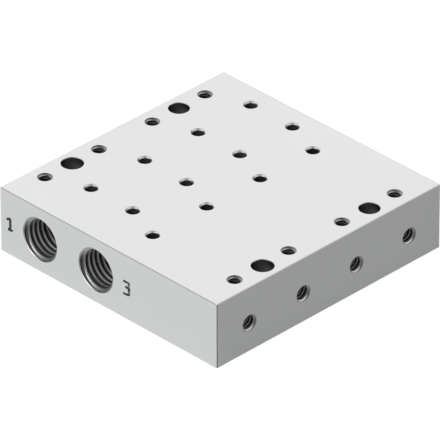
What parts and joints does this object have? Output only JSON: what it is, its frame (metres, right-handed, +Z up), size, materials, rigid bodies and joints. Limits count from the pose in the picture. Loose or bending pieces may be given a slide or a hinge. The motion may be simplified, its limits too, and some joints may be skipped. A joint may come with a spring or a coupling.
{
  "type": "valve manifold strip",
  "caption": "Flat aluminium manifold block: valves screw on top, supply and exhaust ports in one end feed drilled galleries, threaded outlets open in one side.",
  "frame": {"origin": "middle of the underside", "axes": "+Z up through the valve face, +X towards the outlet face, +Y along the row of stations, away from the two ports"},
  "size_m": [0.0856, 0.088, 0.0208],
  "materials": {
    "anodised_aluminium": "clear anodised, fine matte"
  },
  "bodies": {
    "root": {"manifold_block": "anodised_aluminium"}
  },
  "joints": []
}
